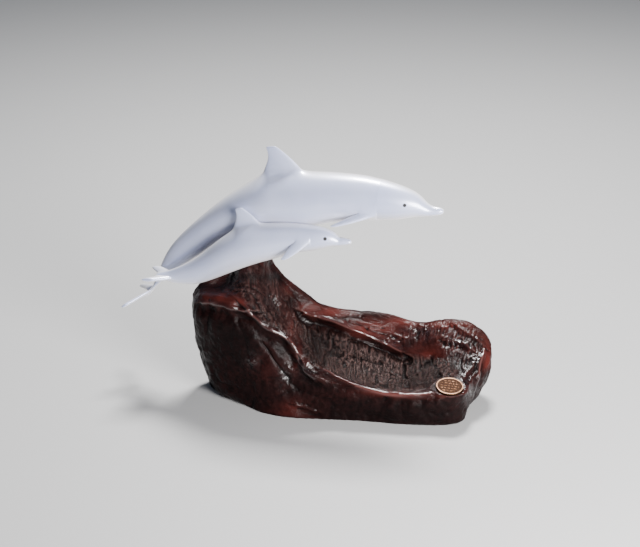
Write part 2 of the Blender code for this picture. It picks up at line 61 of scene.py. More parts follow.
# Camera at the photograph's viewing angle; the lens and the sensor are in millimetres
PHOTO_SIZE = (640, 547)
CAMERA_AZIMUTH = 11.0
CAMERA_ELEVATION = 24.0
CAMERA_DISTANCE = 1.09
CAMERA_TARGET = (-0.0231, 0.0318, 0.0801)
CAMERA_LENS = 85.0
CAMERA_SENSOR = 36.0
CAMERA_NEAR = 0.01
# The lens length in pixels of the photograph
PHOTO_FOCAL = CAMERA_LENS / CAMERA_SENSOR * PHOTO_SIZE[0]

# Dolphins: the way they head, and how their nodes are rounded
FIGURE_YAW = -3.0
FIGURE_LEVELS = 2
CAGE_ROUNDS = 6
FIGURE_SMOOTHINGS = 6
WELD_DISTANCE = 0.000002
QUAD_FACE_ANGLE = 60.0
QUAD_SHAPE_ANGLE = 180.0
# Eyes: their places in the photograph, the radius, and the soft part of their edge as a share of it
ADULT_EYE_PIXEL = (404.6, 205.4)
CALF_EYE_PIXEL = (325.0, 238.9)
EYE_RADIUS = 0.0013
EYE_SOFTNESS = 0.15

# Wood mesh, and where its relief fades out: at the dolphins, at the foot and round the medallion
WOOD_CELL = 0.0006
WOOD_SMOOTHINGS = 22
WOOD_TRIANGLES = 196000
TOUCH_GAP = 0.0002
TOUCH_FADE = 0.004
FOOT_FADE = 0.003
PAD_RADIUS = 0.0112
PAD_FADE = 0.003
# How far each smoothing moves a point to the middle of its neighbours, in all meshes
SMOOTH_SHARE = 0.5

# Rough places of the wood, by their outline in the photograph, and the width of their soft edges
ROUGH_EDGE = 0.004
CRUMPLE_EDGE = 0.012
DISH_PIXELS = (
    (303, 321), (318, 326), (338, 332), (358, 340), (378, 349), (396, 357), (415, 357), (432, 356),
    (446, 360), (458, 370), (452, 377), (440, 377), (430, 386), (412, 391), (390, 390), (368, 386),
    (348, 379), (328, 370), (312, 366), (304, 352), (300, 338),
)
SLOPE_PIXELS = (
    (226, 276), (245, 271), (262, 268), (275, 275), (283, 285), (292, 297), (300, 306), (302, 318),
    (300, 335), (296, 346), (290, 340), (278, 331), (268, 327), (257, 317), (250, 306), (243, 299),
    (232, 291),
)
CRUMPLE_PIXELS = (
    (402, 331), (420, 323), (440, 320), (458, 322), (472, 330), (484, 342), (486, 352), (481, 366),
    (477, 386), (470, 398), (462, 396), (464, 380), (458, 366), (448, 356), (436, 344), (420, 342),
    (404, 345),
)
# Lips of the wood: their course in the photograph from left to right, then the rise, the half width above and
# below the line, and the depth and half width of the hollow that runs under it
WOOD_LIPS = (
    (((225, 290), (233, 296.5), (240, 301), (245, 304.7), (249, 309)), 0.0008, 0.0016, 0.0014, 0.0, 0.0024),
    (((203, 303), (209, 302.5), (215.6, 304.7), (223.8, 306.3), (231, 309.8), (240.6, 311), (247.2, 311)),
     0.0013, 0.0024, 0.0012, 0.0018, 0.0040),
    (((247.2, 310.3), (255.4, 318), (265, 327.7), (268.8, 330), (278, 333.4), (284.8, 337.5), (291.7, 343.8),
      (297, 353)), 0.0018, 0.0024, 0.0012, 0.0024, 0.0045),
    (((291, 345), (296, 354), (300, 363), (306, 372), (314, 378)), 0.0017, 0.0024, 0.0020, 0.0010, 0.0034),
    (((324, 370), (330, 373), (342.7, 380), (358, 387), (372, 391), (386, 394.3), (400, 395.7),
      (415.7, 395.4), (430, 394)), 0.0014, 0.0020, 0.0015, 0.0010, 0.0030),
    (((305, 313), (311, 316), (317, 316.8), (322, 319), (327, 320), (333.6, 322), (343, 326), (352, 330),
      (364, 334), (372, 338), (380, 342), (388, 345), (395, 349), (401, 352)),
     0.0014, 0.0019, 0.0010, 0.0036, 0.0036),
    (((338, 316), (348, 314.5), (360, 315.5)), 0.0007, 0.0010, 0.0008, 0.0004, 0.0015),
    (((350, 320), (360, 322.5), (368, 324), (380, 327)), 0.0007, 0.0010, 0.0008, 0.0005, 0.0015),
    (((370, 328), (380, 330), (390, 332), (400, 337)), 0.0007, 0.0010, 0.0008, 0.0006, 0.0015),
    (((296, 405), (305, 407), (314.5, 411)), 0.0010, 0.0012, 0.0010, 0.0008, 0.0024),
    (((448, 341), (455, 341.5), (464, 344), (470, 349)), 0.0012, 0.0014, 0.0012, 0.0010, 0.0024),
    (((458, 327), (466, 332), (475, 338), (484, 346)), 0.0010, 0.0014, 0.0012, 0.0006, 0.0024),
    (((472, 397), (475, 388), (478, 376), (480, 364), (484, 350)), 0.0013, 0.0016, 0.0016, 0.0, 0.0024),
)
# A lip that rises this much counts in full as a lip for the looks, a lower one less
LIP_FULL_RISE = 0.0013
# Noise varies the lips' rise along their course: the share that stays, and the share that it adds or takes
LIP_STEADY = 0.8
LIP_VARIED = 0.35
# Creases of the wood: their course in the photograph, then the depth and the half width
WOOD_CREASES = (
    (((262, 344), (268, 352), (273, 359), (281, 370), (288.6, 380)), 0.0020, 0.0015),
    (((334, 341), (346, 341.5), (358, 343)), 0.0011, 0.0009),
    (((352, 357), (362, 359), (372, 363), (382, 364)), 0.0012, 0.0010),
    (((312, 330), (316, 340), (318, 352), (321, 364)), 0.0016, 0.0022),
    (((236, 292), (244, 291), (252, 294), (258, 299)), 0.0008, 0.0008),
    (((238, 287), (248, 286.5), (257, 290), (263, 296)), 0.0008, 0.0008),
    (((258, 303), (262, 312), (268, 320)), 0.0009, 0.0008),
    (((267, 304), (271, 313), (277, 323)), 0.0009, 0.0008),
    (((276, 306), (280, 315), (284, 326)), 0.0009, 0.0008),
    (((236, 322), (243, 336), (247, 352)), 0.0012, 0.0028),
    (((288, 382), (298, 390), (312, 396), (330, 400)), 0.0012, 0.0030),
)
# Knobs and dents of the wood: their place in the photograph, the rise (dents are negative) and the radius
WOOD_KNOBS = (
    ((252, 361), 0.0024, 0.0030), ((264, 372), 0.0013, 0.0052), ((306, 364), 0.0013, 0.0034),
    ((429, 357), -0.0017, 0.0075), ((437, 373), -0.0014, 0.0040), ((276, 300), -0.0026, 0.0030),
    ((292, 409), 0.0010, 0.0060), ((254, 308), -0.0008, 0.0015), ((256, 312), -0.0008, 0.0015),
    ((313, 317), 0.0012, 0.0036), ((274, 266), -0.0022, 0.0060), ((282, 279), -0.0018, 0.0060),
    ((320, 378), 0.0009, 0.0040), ((281, 304), 0.0012, 0.0014), ((271, 297), 0.0010, 0.0014),
)
# Places where the stain is worn red: middle and half size in the photograph
RED_PATCHES = (
    ((213, 296), (20, 8)), ((240, 303), (8, 4)), ((264, 372), (11, 13)), ((488, 362), (5, 14)),
    ((292, 408), (14, 8)), ((312, 308), (10, 5)), ((330, 312), (20, 5)), ((371, 328), (24, 8)),
    ((402, 322), (20, 5)), ((429, 357), (11, 9)), ((296, 364), (5, 12)), ((291, 330), (4, 10)),
    ((445, 324), (25, 4)), ((372, 395), (44, 4)),
)
# Places of painted shade, the darkest of all, in recesses, under the lips and the calf, and on the walls:
# middle and half size in the photograph
PAINTED_SHADE_PATCHES = (
    ((316, 348), (16, 22)), ((262, 277), (26, 4)), ((437, 373), (7, 5)), ((230, 338), (24, 20)),
    ((335, 330), (16, 4)), ((365, 342), (16, 4)), ((292, 300), (6, 8)), ((400, 416), (90, 12)),
    ((281, 352), (7, 9)),
)
# Places where the bark's pale flecks, which partly paint in glints of highlight, are palest: middle and half
# size in the photograph
PALE_FLECK_GLINT_PATCHES = (((372, 366), (34, 18)), ((430, 366), (14, 8)), ((262, 312), (10, 12)))
# Places where the lacquer shines most: middle and half size in the photograph
SHINE_PATCHES = (
    ((210, 301), (7, 3)), ((252, 361), (6, 7)), ((285, 375), (6, 9)), ((306, 366), (9, 9)),
    ((313, 318), (7, 5)), ((424, 332), (24, 8)), ((456, 343), (10, 4)), ((468, 384), (7, 18)),
    ((475, 358), (6, 6)), ((276, 300), (7, 6)), ((386, 342), (20, 6)),
)
WOOD_PATCHES = {"red": RED_PATCHES, "dark": PAINTED_SHADE_PATCHES, "pale": PALE_FLECK_GLINT_PATCHES, "shine": SHINE_PATCHES}

# Layers of noise in the wood's relief: the size of their features, in all or along each axis, and the seed
BARK_FIBRES = ((0.0017, 0.0200, 0.0070), 7)
BARK_FLAKES = ((0.0026, 0.0042, 0.0034), 8)
BARK_PITS = ((0.0034, 0.0075, 0.0050), 9)
BARK_SWELLS = (0.009, 11)
FLAKY_PLACES = (0.014, 12)
LIP_WAVES = (0.0055, 21)
LOBES = ((0.014, 0.014, 0.020), 34)
SMALL_LOBES = ((0.0050, 0.0050, 0.0090), 35)
TOP_GRAIN = ((0.0180, 0.0020, 0.0024), 36)
POCKS = (0.0030, 37)
SMALL_POCKS = (0.0017, 38)
WRINKLES = ((0.0034, 0.0110, 0.0100), 44)
SMALL_WRINKLES = ((0.0017, 0.0060, 0.0050), 45)
WRINKLE_SWELLS = (0.010, 46)
SPARKLES = (0.0021, 51)
WIDE_SPARKLES = (0.0042, 52)
# Noise that bends the layers: how far it moves them, the size of its features, and the first of three seeds
BARK_BEND = (0.0010, 0.0060, 1)
LOBE_BEND = (0.0030, 0.012, 31)
WRINKLE_BEND = (0.0020, 0.009, 41)
# Middle values of folded noise, taken off so that a layer neither swells nor thins the wood
FOLD_MIDDLE = 0.4
LOBE_MIDDLE = 0.35

# Bark: the turn of its fibres in plan, how sharply fibres give way to flakes, and the heights and depths
FIBRE_TURN = 15.0
FLAKY_CONTRAST = 1.4
FIBRE_HEIGHT = 0.0011
FLAKE_HEIGHT = 0.0008
PIT_DEPTH = 0.0013
BARK_SWELL_HEIGHT = 0.0012
# Flakes: how far their middles stray in their cells, the width of their edges, how unlike their levels are
CELL_SHIFT = 0.45
FLAKE_EDGE = 0.30
FLAKE_STEP = 0.35
# Heights on the smooth lacquered wood: lobes lose height towards the top, where the grain shows instead
LOBE_HEIGHT = 0.0022
LOBE_LOSS_ON_TOP = 0.0012
SMALL_LOBE_HEIGHT = 0.0005
POCK_HEIGHT = 0.00030
SMALL_POCK_HEIGHT = 0.00022
GRAIN_HEIGHT = 0.00035
# Heights of the crumpled right end
WRINKLE_HEIGHT = 0.0006
SMALL_WRINKLE_HEIGHT = 0.0007
WRINKLE_SWELL_HEIGHT = 0.0011
# Small dimples that break up the shine: their height, and the share of the wider ones
SPARKLE_HEIGHT = 0.00050
WIDE_SPARKLE_SHARE = 0.5
# How much of the bark lies on the slope, and how much of the bark and the lobes the lips keep away
SLOPE_BARK = 0.5
BARK_OFF_LIPS = 0.9
LOBES_OFF_LIPS = 0.8

# Where a share grows from 0 to 1, as a start and a span: over the way a point faces, up or to the camera, its
# nearness to a lip, the pits' noise, and its height above or depth below the wood around it
ROUGH_FACING = (-0.05, 0.3)
PHOTO_FACING = (0.0, 0.3)
TOP_FACING = (0.0, 0.5)
# Painted highlight along the lips' tops: how far the wood must face up
LIP_HIGHLIGHT_FACING = (0.2, 0.4)
# Painted shade on the walls grows as they turn from facing up to facing sideways and down
WALL_SHADE_FACING = (-0.2, 0.9)
GLOSS_FACING = (0.1, 0.6)
# Painted highlight along the lips' tops: how near a lip it lies
LIP_HIGHLIGHT_NEARNESS = (0.85, 0.13)
SLEEK_NEARNESS = (0.3, 0.5)
PIT_START = (0.2, 0.3)
# The painted highlight on crests grows with the first of these heights, the painted shade in hollows with the
# other two
CREST_RISE = (0.0, 0.00030)
FINE_HOLLOW = (0.0, 0.00035)
WIDE_HOLLOW = (0.0, 0.0014)
# Smoothings that the surroundings of a point are taken from
FINE_ROUNDS = 14
WIDE_ROUNDS = 90
# How strongly the painted shade shows in dark places and hollows, and how much of it the shine keeps away
PAINTED_SHADE_STRENGTH = 0.90
SHADE_OFF_SHINE = 0.5
WIDE_HOLLOW_SHARE = 0.8
HOLLOW_SHADE_STRENGTH = 0.9
# Gloss of the wood: on top, what bark adds there, at shining places and everywhere, and what darkness takes
TOP_GLOSS = 0.11
BARK_GLOSS = 1.2
SHINE_GLOSS = 1.2
LEAST_GLOSS = 0.02
GLOSS_OFF_DARK = 0.9
SHINE_SLEEKNESS = 0.5

# Colours as red, green and blue; a ramp is a row of places on it with their colours
PEARL_RAMP = ((0.35, (0.37, 0.41, 0.59)), (0.65, (0.43, 0.465, 0.63)))
# Painted sheen: a warmer white that the enamel takes where it slants away from the view, standing for its
# pearly sheen and for light bounced onto the edges
PAINTED_PEARL_SHEEN = (0.90, 0.88, 0.90)
EYE_COLOUR = (0.006, 0.005, 0.005)
LACQUER_RAMP = (
    (0.34, (0.0022, 0.0009, 0.0009)), (0.50, (0.0090, 0.0025, 0.0023)), (0.62, (0.0185, 0.0047, 0.0041)),
    (0.76, (0.032, 0.0105, 0.0078)),
)
# Painted highlight on the lacquer's crests
LACQUER_CREST_HIGHLIGHT = (0.043, 0.0150, 0.0125)
LACQUER_WORN = (0.050, 0.0095, 0.0075)
# Painted shade down the walls, mottled between these two
WALL_SHADE_RAMP = ((0.38, (0.0014, 0.0009, 0.0009)), (0.62, (0.0088, 0.0032, 0.0032)))
# Painted highlight along the lips' tops, which also stands for rubbed lacquer
LIP_HIGHLIGHT_COLOUR = (0.15, 0.060, 0.052)
BARK_RAMP = (
    (0.36, (0.0016, 0.0008, 0.0008)), (0.50, (0.0075, 0.0034, 0.0030)), (0.62, (0.023, 0.0115, 0.0100)),
    (0.76, (0.085, 0.050, 0.044)),
)
# Painted highlight on the bark's crests
BARK_CREST_HIGHLIGHT = (0.085, 0.048, 0.043)
# Pale flecks of bark, which partly paint in glints of highlight
BARK_FLECK_AND_GLINT = (0.19, 0.130, 0.115)
# Painted shade in hollows and dark places
HOLLOW_SHADE_COLOUR = (0.0026, 0.0013, 0.0013)
COPPER_RAMP = ((0.32, (0.060, 0.027, 0.014)), (0.52, (0.150, 0.075, 0.041)), (0.72, (0.27, 0.150, 0.090)))
COPPER_AGED = (0.012, 0.0055, 0.0035)
COPPER_RIM = (0.30, 0.172, 0.108)

# Noise textures, with their scale in features per metre
PEARL_CLOUDS = {"scale": 28.0, "detail": 3.0}
PEARL_SHEEN = {"scale": 60.0, "detail": 2.0}
PEARL_PEEL = {"scale": 420.0, "detail": 2.0}
LACQUER_FIGURE = {"scale": 48.0, "detail": 6.0, "distortion": 0.6}
LACQUER_PATCHES = {"scale": 160.0, "detail": 3.0}
LACQUER_SPECKS = {"scale": 520.0, "detail": 4.0}
LACQUER_RIPPLE = {"scale": 240.0, "detail": 4.0}
LACQUER_GRAIN = {"scale": 800.0, "detail": 3.0, "roughness": 0.65}
WALL_MOTTLE = {"scale": 230.0, "detail": 6.0, "roughness": 0.7}
FIBRE_TEXTURE = {"scale": 420.0, "detail": 5.0, "roughness": 0.7}
COPPER_MOTTLE = {"scale": 520.0, "detail": 5.0}
# How the texture of the wood is stretched along each axis, and turned about each
FIGURE_LAY = ((1.0, 2.2, 1.4), (0, 20, 15))
FIBRE_LAY = ((2.6, 0.8, 1.4), (25, 0, 20))
# Bumps: their strength and depth
PEEL_BUMP = (0.06, 0.0004)
RIPPLE_BUMP = (0.35, 0.0005)
GRAIN_BUMP = (0.55, 0.0006)
FIBRE_BUMP = (1.0, 0.0011)
COPPER_BUMP = (0.2, 0.0002)
# Ranges that a value is carried over: from and to, then what it becomes at each
# Painted sheen of the enamel: how it grows as the surface slants away from the view
PAINTED_SHEEN_SLANT = (0.20, 0.80, 0.0, 1.0)
PEARL_ROUGHNESS = (0.3, 0.7, 0.34, 0.40)
EYE_EDGE = (EYE_RADIUS * (1 + EYE_SOFTNESS), EYE_RADIUS * (1 - EYE_SOFTNESS), 0.0, 1.0)
# Painted shade on the walls: how much of it shows
WALL_SHADE_SHARE = (0.20, 0.90, 0.0, 0.85)
# Pale flecks of bark, partly painted glints
FLECK_AND_GLINT_SHARE = (0.54, 0.68, 0.0, 0.7)
LACQUER_ROUGHNESS = (0.3, 0.7, 0.28, 0.42)
SPECK_GLOSS = (0.46, 0.60, 0.10, 1.0)
GRAIN_ON_SLEEK = (0.0, 1.0, 1.0, 0.12)
AGED_SHARE = (0.05, 0.80, 0.90, 0.0)
COPPER_ROUGHNESS = (0.0, 0.8, 0.60, 0.38)
# Shares of colours and relief mixed in; those of the crests and the lips' edges are painted highlights
LACQUER_HIGHLIGHT_SHARE = 0.35
LACQUER_WORN_SHARE = 0.85
LIP_HIGHLIGHT_SHARE = 0.30
BARK_HIGHLIGHT_SHARE = 0.40
FIBRE_ON_LACQUER = 0.08
EYE_ROUGHENING = 0.45
# Values that are the same all over a material, by the names of the shader's inputs
PEARL_SURFACE = {
    "Metallic": 0.22, "Specular IOR Level": 0.7, "Coat Roughness": 0.15, "Subsurface Weight": 0.06,
    "Subsurface Radius": (0.0025, 0.0022, 0.0022), "Subsurface Scale": 1.0,
}
LACQUER_SURFACE = {"Specular IOR Level": 0.05, "Coat Roughness": 0.12}
COPPER_SURFACE = {"Metallic": 1.0}
FLOOR_SURFACE = {"Base Color": (0.34, 0.34, 0.34, 1.0), "Roughness": 0.7}

# Medallion mesh and relief
MEDAL_SIDES = 192
MEDAL_RINGS = 84
MEDAL_RIM = 0.0013
MEDAL_RELIEF = 0.0003
MEDAL_EDGE = 0.00035
STROKE_ROWS = 5
STROKE_HEIGHT = 0.0008
STROKE_SPREAD = (0.0010, 0.0024)
STROKE_SPACE = 0.0006
# Shape of the relief: how the rings crowd to the edge, and the rim's slope and brightness as shares
RING_CROWDING = 0.85
RIM_SLOPE = 0.4
RIM_BRIGHTNESS = 0.6
# Strokes: their rise as a share of the relief, where their slope ends in half heights of a stroke, how far in
# they stop from the edge in rims, how much of a row they fill, the empty height beside the rows in rows, and
# the seed that their lengths are drawn with
STROKE_RISE = 0.85
STROKE_SHOULDER = 1.25
STROKE_INSET = 1.4
ROW_FILL = 0.86
ROW_MARGIN = 0.6
STROKE_SEED = 4

# Studio: the floor, and the lights' names, places, aims, sizes, powers and colours
FLOOR_REACH = 6.0
LIGHTS = (
    ("overhead softbox", (0.00, 0.46, 1.00), (0.0, 0.0, 0.10), (0.24, 0.24), 36.0, (1.0, 0.99, 0.98)),
    ("right key", (0.48, -0.48, 0.28), (0.08, 0.0, 0.14), (0.32, 0.32), 22.0, (1.0, 0.98, 0.97)),
)
SKY_COLOUR = (0.68, 0.79, 1.0, 1.0)
SKY_STRENGTH = 0.19

# Large odd numbers that mix a cell's place and a seed into an even spread of values, in so many steps
CELL_FACTORS = (73856093, 19349663, 83492791)
SEED_FACTOR = 2654435761
MIXING_FACTOR = 1274126177
VALUE_STEPS = 0xFFFF


def clear_scene():
    for item in list(bpy.data.objects):
        bpy.data.objects.remove(item, do_unlink=True)


def camera_axes():
    """Unit vectors of the camera: backwards, to the right and up."""
    azimuth = math.radians(CAMERA_AZIMUTH)
    elevation = math.radians(CAMERA_ELEVATION)
    level = math.cos(elevation)
    backward = Vector((math.sin(azimuth) * level, -math.cos(azimuth) * level, math.sin(elevation)))
    right = Vector((math.cos(azimuth), math.sin(azimuth), 0.0))
    return backward, right, backward.cross(right)


def add_camera():
    backward, right, up = camera_axes()
    data = bpy.data.cameras.new("photo camera")
    data.lens = CAMERA_LENS
    data.sensor_width = CAMERA_SENSOR
    data.clip_start = CAMERA_NEAR
    camera = bpy.data.objects.new("photo camera", data)
    bpy.context.scene.collection.objects.link(camera)
    turn = Matrix((right, up, backward)).transposed().to_4x4()
    camera.matrix_world = Matrix.Translation(Vector(CAMERA_TARGET) + backward * CAMERA_DISTANCE) @ turn
    bpy.context.scene.camera = camera


def photo_ray(pixel):
    """Start and direction of the ray that a pixel of the photograph sees along."""
    backward, right, up = camera_axes()
    across = (pixel[0] - PHOTO_SIZE[0] / 2) / PHOTO_FOCAL
    above = (PHOTO_SIZE[1] / 2 - pixel[1]) / PHOTO_FOCAL
    start = Vector(CAMERA_TARGET) + backward * CAMERA_DISTANCE
    return start, (right * across + up * above - backward).normalized()


def photo_pixels(points):
    """Where points of the object lie in the photograph, in pixels."""
    backward, right, up = (np.array(axis) for axis in camera_axes())
    reach = points - np.array(CAMERA_TARGET) - backward * CAMERA_DISTANCE
    scale = PHOTO_FOCAL / -(reach @ backward)
    across = PHOTO_SIZE[0] / 2 + reach @ right * scale
    down = PHOTO_SIZE[1] / 2 - reach @ up * scale
    return np.column_stack([across, down])


def seen_points(tree, pixels):
    """Where pixels of the photograph see the surface."""
    found = []
    for pixel in pixels:
        place = tree.ray_cast(*photo_ray(pixel))[0]
        if place is not None:
            found.append(place)
    return found


def smooth_step(value):
    """From 0 to 1, easing in and out, and flat outside."""
    value = np.clip(value, 0.0, 1.0)
    return value * value * (3 - 2 * value)


def growing_share(value, start, span):
    """From 0 at the start to 1 a span further on, easing in and out."""
    return smooth_step((value - start) / span)


def lattice_values(cell, seed):
    """One repeatable value from -1 to 1 for each cell of space."""
    mixed = seed * SEED_FACTOR
    for axis, factor in enumerate(CELL_FACTORS):
        mixed = mixed ^ (cell[:, axis] * factor)
    mixed = (mixed ^ (mixed >> 13)) * MIXING_FACTOR
    return ((mixed ^ (mixed >> 16)) & VALUE_STEPS) / (VALUE_STEPS / 2) - 1


def noise(points, size, seed):
    """Smooth values from -1 to 1 over space, with features of one size, or of one size for each axis."""
    points = points / np.array(size)
    cell = np.floor(points).astype(np.int64)
    part = smooth_step(points - cell)
    total = np.zeros(len(points))
    for corner in itertools.product((0, 1), repeat=3):
        weight = np.prod(np.where(corner, part, 1 - part), axis=1)
        total += weight * lattice_values(cell + np.array(corner), seed)
    return total


def folded_noise(points, size, seed):
    """Noise folded into sharp crests, about 0 in the middle."""
    return (1 - np.abs(noise(points, size, seed))) ** 2 - FOLD_MIDDLE


def lobed_noise(points, size, seed):
    """Noise folded into rounded lobes parted by creases, about 0 in the middle."""
    return np.abs(noise(points, size, seed)) - LOBE_MIDDLE


def bend(points, reach, size, seed):
    """How far smooth noise moves each point along each axis."""
    return reach * np.column_stack([noise(points, size, seed + axis) for axis in range(3)])


def cells(points, size, seed):
    """How far each point lies inside its cell of a broken-up space, from 0, and the cell's value, -1 to 1."""
    points = points / np.array(size)
    home = np.floor(points).astype(np.int64)
    first = np.full(len(points), np.inf)
    second = first.copy()
    value = np.zeros(len(points))
    for step in itertools.product((-1, 0, 1), repeat=3):
        cell = home + np.array(step)
        shift = np.column_stack([lattice_values(cell, seed + axis) for axis in range(3)])
        away = np.linalg.norm(cell + 0.5 + CELL_SHIFT * shift - points, axis=1)
        closer = away < first
        second = np.where(closer, first, np.minimum(second, away))
        value[closer] = lattice_values(cell[closer], seed + 3)
        first[closer] = away[closer]
    return second - first, value


def away_from_line(points, line):
    """Distance of each point from a line through the places given, in two or three dimensions."""
    nearest = np.full(len(points), np.inf)
    for start, end in zip(line, line[1:]):
        run = end - start
        share = np.clip((points - start) @ run / (run @ run), 0, 1)
        nearest = np.minimum(nearest, np.linalg.norm(points - start - share[:, None] * run, axis=1))
    return nearest


def inside_outline(points, outline):
    """Distance inside a closed outline in plan, negative outside."""
    x, y = points.T
    inside = np.zeros(len(points), dtype=bool)
    closed = np.vstack([outline, outline[:1]])
    for (x0, y0), (x1, y1) in zip(closed, closed[1:]):
        crosses = (y0 > y) != (y1 > y)
        rise = y1 - y0 if y1 != y0 else 1.0
        inside ^= crosses & (x < (x1 - x0) * (y - y0) / rise + x0)
    away = away_from_line(points, closed)
    return np.where(inside, away, -away)


def new_object(name, data):
    made = bpy.data.objects.new(name, data)
    bpy.context.scene.collection.objects.link(made)
    return made


def applied(thing):
    """The object with its modifiers made into its mesh."""
    graph = bpy.context.evaluated_depsgraph_get()
    data = bpy.data.meshes.new_from_object(thing.evaluated_get(graph))
    thing.modifiers.clear()
    thing.data = data
    return thing


def welded_mesh(name):
    """A node's mesh with its split corners welded."""
    mesh = bmesh.new()
    mesh.from_mesh(frame["nodes"][name].data)
    bmesh.ops.remove_doubles(mesh, verts=mesh.verts, dist=WELD_DISTANCE)
    return mesh


def node_copy(mesh, title):
    """A named mesh made from an edited one, which is freed."""
    data = bpy.data.meshes.new(title)
    mesh.to_mesh(data)
    mesh.free()
    return data


def add_smoothing(thing, rounds):
    soft = thing.modifiers.new("soft", "SMOOTH")
    soft.factor = SMOOTH_SHARE
    soft.iterations = rounds


def mesh_arrays(data):
    """Positions and normals of a mesh's vertices."""
    point = np.zeros(len(data.vertices) * 3)
    normal = np.zeros(len(data.vertices) * 3)
    data.vertices.foreach_get("co", point)
    data.vertices.foreach_get("normal", normal)
    return point.reshape(-1, 3), normal.reshape(-1, 3)


def store(data, name, values):
    attribute = data.attributes.new(name, "FLOAT", "POINT")
    attribute.data.foreach_set("value", np.asarray(values, dtype=np.float32))


def set_input(tree, socket, value):
    """Link another node's output to an input, or set the input to a plain value."""
    if isinstance(value, bpy.types.NodeSocket):
        tree.links.new(value, socket)
    else:
        socket.default_value = value


def add_node(tree, kind, **inputs):
    """A shader node with its inputs set to plain values or linked to other nodes' outputs."""
    node = tree.nodes.new(kind)
    for name, value in inputs.items():
        set_input(tree, node.inputs[name.replace("_", " ")], value)
    return node


def new_material(name, surface):
    """A material, with the values of its shader that are the same all over."""
    made = bpy.data.materials.new(name)
    made.use_nodes = True
    shader = made.node_tree.nodes["Principled BSDF"]
    for title, value in surface.items():
        shader.inputs[title].default_value = value
    return made, made.node_tree, shader


def colour_ramp(tree, factor, stops):
    node = tree.nodes.new("ShaderNodeValToRGB")
    tree.links.new(factor, node.inputs["Fac"])
    elements = node.color_ramp.elements
    while len(elements) < len(stops):
        elements.new(0.5)
    for element, (place, colour) in zip(elements, stops):
        element.position = place
        element.color = (*colour, 1.0)
    return node.outputs["Color"]


def mix_colours(tree, factor, first, second):
    """The first colour with a share of the second, which is another node's output or a plain colour."""
    node = tree.nodes.new("ShaderNodeMix")
    node.data_type = "RGBA"
    if not isinstance(second, bpy.types.NodeSocket):
        second = (*second, 1.0)
    # The mix node has inputs and outputs for each kind of data: these are the share and the two colours
    for index, value in ((0, factor), (6, first), (7, second)):
        set_input(tree, node.inputs[index], value)
    return node.outputs[2]


def map_range(tree, value, low, high, out_low, out_high):
    """A value carried over from one range to another."""
    ends = {"From_Min": low, "From_Max": high, "To_Min": out_low, "To_Max": out_high}
    return add_node(tree, "ShaderNodeMapRange", Value=value, **ends).outputs["Result"]


def calculate(tree, operation, first, second):
    """The sum, product or other result of two values."""
    node = tree.nodes.new("ShaderNodeMath")
    node.operation = operation
    for socket, value in zip(node.inputs, (first, second)):
        set_input(tree, socket, value)
    return node.outputs[0]


def object_place(tree, stretch=(1.0, 1.0, 1.0), turn=(0.0, 0.0, 0.0)):
    """The point on the object that is being coloured, stretched and turned for a texture."""
    place = tree.nodes.new("ShaderNodeTexCoord")
    mapping = add_node(tree, "ShaderNodeMapping", Vector=place.outputs["Object"])
    mapping.inputs["Scale"].default_value = stretch
    mapping.inputs["Rotation"].default_value = [math.radians(angle) for angle in turn]
    return mapping.outputs["Vector"]


def noise_texture(tree, place, scale, detail=4.0, roughness=0.55, distortion=0.0):
    node = add_node(
        tree, "ShaderNodeTexNoise", Vector=place, Scale=scale, Detail=detail, Roughness=roughness,
        Distortion=distortion,
    )
    return node.outputs["Fac"]


def attribute_value(tree, name):
    """A value that is stored on the mesh."""
    node = tree.nodes.new("ShaderNodeAttribute")
    node.attribute_name = name
    return node.outputs["Fac"]


def attribute_share(tree, name, share):
    """A share of a value that is stored on the mesh."""
    return calculate(tree, "MULTIPLY", attribute_value(tree, name), share)


def bump(tree, height, strength, distance, under=None):
    node = add_node(tree, "ShaderNodeBump", Height=height, Strength=strength, Distance=distance)
    if under is not None:
        tree.links.new(under, node.inputs["Normal"])
    return node.outputs["Normal"]


def pearl_material(name, eyes):
    """Pearly white enamel over a casting, with a painted sheen where it slants away from the view, and the
    eyes painted on.
    """
    made, tree, shader = new_material(name, PEARL_SURFACE)
    facing = colour_ramp(tree, noise_texture(tree, object_place(tree), **PEARL_CLOUDS), PEARL_RAMP)
    # Painted sheen: warmer and whiter where the surface slants away from the view, for the pearl's sheen and
    # for light bounced onto the edges
    slanted = tree.nodes.new("ShaderNodeLayerWeight").outputs["Facing"]
    enamel = mix_colours(tree, map_range(tree, slanted, *PAINTED_SHEEN_SLANT), facing, PAINTED_PEARL_SHEEN)
    rough = map_range(tree, noise_texture(tree, object_place(tree), **PEARL_SHEEN), *PEARL_ROUGHNESS)
    coat = 1.0
    place = tree.nodes.new("ShaderNodeTexCoord").outputs["Object"]
    for eye in eyes:
        span = tree.nodes.new("ShaderNodeVectorMath")
        span.operation = "DISTANCE"
        tree.links.new(place, span.inputs[0])
        span.inputs[1].default_value = eye
        painted = map_range(tree, span.outputs["Value"], *EYE_EDGE)
        enamel = mix_colours(tree, painted, enamel, EYE_COLOUR)
        coat = calculate(tree, "SUBTRACT", coat, painted)
        rough = calculate(tree, "ADD", rough, calculate(tree, "MULTIPLY", painted, EYE_ROUGHENING))
    tree.links.new(enamel, shader.inputs["Base Color"])
    tree.links.new(coat, shader.inputs["Coat Weight"])
    tree.links.new(rough, shader.inputs["Roughness"])
    peel = noise_texture(tree, object_place(tree), **PEARL_PEEL)
    tree.links.new(bump(tree, peel, *PEEL_BUMP), shader.inputs["Normal"])
    return made


